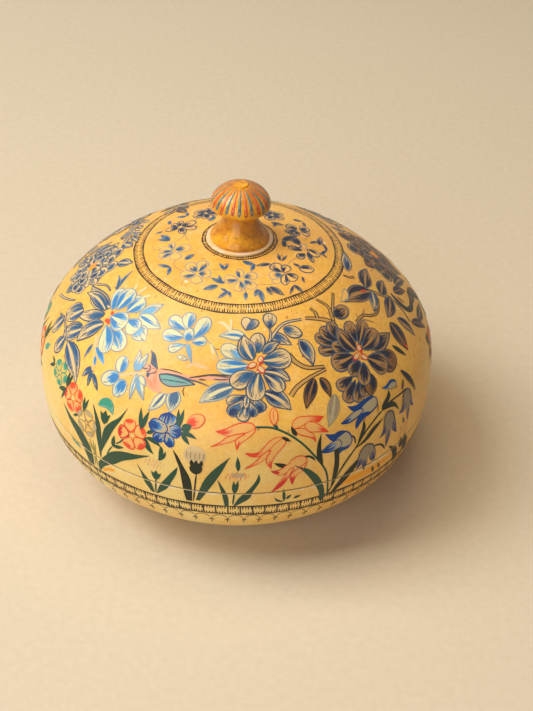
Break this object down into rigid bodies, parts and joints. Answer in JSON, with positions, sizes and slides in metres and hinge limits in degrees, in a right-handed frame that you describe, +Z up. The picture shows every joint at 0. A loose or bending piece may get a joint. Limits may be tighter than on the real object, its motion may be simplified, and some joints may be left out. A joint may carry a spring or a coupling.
{
  "type": "lidded papier mache box",
  "caption": "Squat round papier mache box with a flat base, a domed lift-off lid over an inner collar and a turned mushroom knob, lacquered ochre and painted all over with flowers.",
  "frame": {"origin": "centre of the flat base that the box stands on", "axes": "+Z up along the box's own axis, through the knob; -Y towards the side with the bird"},
  "size_m": [0.152, 0.152, 0.122],
  "materials": {
    "ochre_lacquer": "satin",
    "turned_wood": "gloss",
    "bent_wood": "satin"
  },
  "bodies": {
    "bowl": {"bowl_shell": "ochre_lacquer", "bowl_rim_hoop": "bent_wood", "locating_collar": "bent_wood"},
    "lid": {"lid_shell": "ochre_lacquer", "lid_rim_hoop": "bent_wood", "knob_ledge": "turned_wood", "knob_stem": "turned_wood", "knob_head": "turned_wood", "knob_peg": "turned_wood", "peg_washer": "bent_wood"}
  },
  "joints": [
    {"name": "lid_lift", "type": "slide", "parent": "bowl", "child": "lid", "axis": [0, 0, 1], "range_m": [0, 0.12]}
  ]
}
